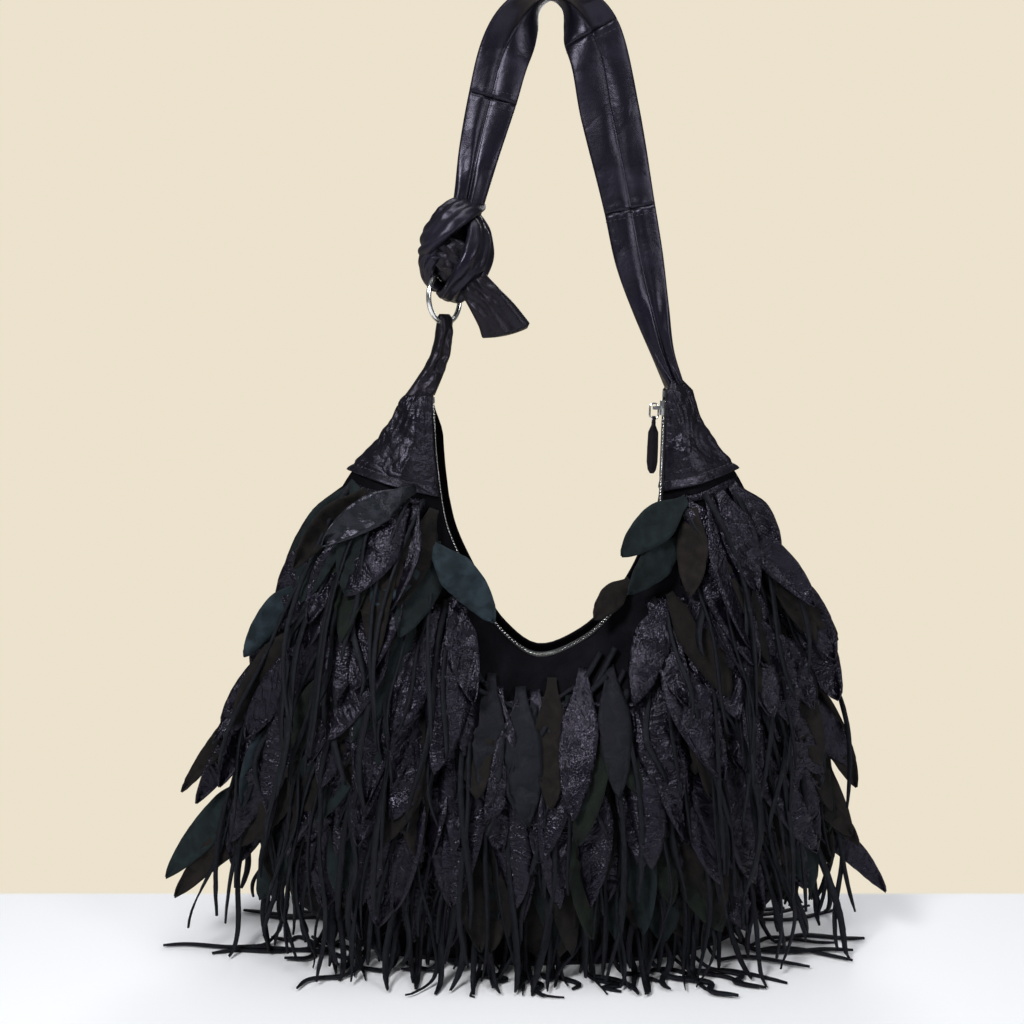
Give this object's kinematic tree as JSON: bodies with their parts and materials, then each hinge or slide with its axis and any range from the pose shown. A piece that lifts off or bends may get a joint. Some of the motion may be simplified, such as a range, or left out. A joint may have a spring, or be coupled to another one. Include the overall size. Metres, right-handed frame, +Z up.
{
  "type": "fringed leather shoulder bag",
  "caption": "Slouchy black leather shoulder bag with a zipped mouth, a knotted strap on a metal ring, and layered fringe of leather leaves and laces.",
  "frame": {"origin": "middle of the base panel, on its underside", "axes": "+Z up, front of the bag faces -Y, +X to the right seen from the front"},
  "size_m": [0.5025, 0.1726, 0.6686],
  "materials": {
    "crinkled_leather": "crinkled glossy black leather",
    "strap_nappa": "smooth black nappa with a soft sheen",
    "suede_and_leather_fringe": "black leather and slate suede leaves and laces",
    "zip_tape": "woven black tape",
    "bright_nickel": "bright nickel plate"
  },
  "bodies": {
    "bag": {"front_panel": "crinkled_leather", "back_panel": "crinkled_leather", "base_panel": "crinkled_leather", "left_cap": "crinkled_leather", "right_cap": "crinkled_leather", "ring_tab": "strap_nappa", "strap_knotted_length": "strap_nappa", "strap_top_length": "strap_nappa", "strap_shoulder_length": "strap_nappa", "strap_sewn_length": "strap_nappa", "zip_tape_front": "zip_tape", "zip_tape_back": "zip_tape", "zip_teeth_front": "bright_nickel", "zip_teeth_back": "bright_nickel", "zip_bottom_stop": "bright_nickel", "zip_top_stop": "bright_nickel", "front_fringe_left_1": "suede_and_leather_fringe", "front_fringe_left_2": "suede_and_leather_fringe", "front_fringe_left_3": "suede_and_leather_fringe", "front_fringe_left_4": "suede_and_leather_fringe", "front_fringe_right_1": "suede_and_leather_fringe", "front_fringe_right_2": "suede_and_leather_fringe", "front_fringe_right_3": "suede_and_leather_fringe", "front_fringe_right_4": "suede_and_leather_fringe", "back_fringe_left_1": "suede_and_leather_fringe", "back_fringe_left_2": "suede_and_leather_fringe", "back_fringe_left_3": "suede_and_leather_fringe", "back_fringe_left_4": "suede_and_leather_fringe", "back_fringe_right_1": "suede_and_leather_fringe", "back_fringe_right_2": "suede_and_leather_fringe", "back_fringe_right_3": "suede_and_leather_fringe", "back_fringe_right_4": "suede_and_leather_fringe", "front_fringe_lower_1": "suede_and_leather_fringe", "front_fringe_lower_2": "suede_and_leather_fringe", "front_fringe_lower_3": "suede_and_leather_fringe", "front_fringe_lower_4": "suede_and_leather_fringe", "back_fringe_lower_1": "suede_and_leather_fringe", "back_fringe_lower_2": "suede_and_leather_fringe", "back_fringe_lower_3": "suede_and_leather_fringe", "back_fringe_lower_4": "suede_and_leather_fringe", "front_fringe_hem_laces": "suede_and_leather_fringe", "back_fringe_hem_laces": "suede_and_leather_fringe"},
    "slider": {"zip_slider": "bright_nickel"},
    "link": {"pull_link": "bright_nickel"},
    "pull": {"leather_pull": "strap_nappa"},
    "ring": {"o_ring": "bright_nickel"}
  },
  "joints": [
    {"name": "zip_travel", "type": "slide", "parent": "bag", "child": "slider", "axis": [-0.0227, 0, -0.9997], "range_m": [0, 0.026]},
    {"name": "link_swing", "type": "hinge", "parent": "slider", "child": "link", "pos_m": [0.07922, 0, 0.39166], "axis": [0, 1, 0], "range_deg": [0, 150]},
    {"name": "pull_swing", "type": "hinge", "parent": "link", "child": "pull", "pos_m": [0.07904, 0, 0.38366], "axis": [-0.9997, 0, 0.0227], "range_deg": [-60, 60]},
    {"name": "ring_turn", "type": "hinge", "parent": "bag", "child": "ring", "pos_m": [-0.0665, 0, 0.467], "axis": [0.8192, -0.5736, 0], "continuous": true}
  ]
}
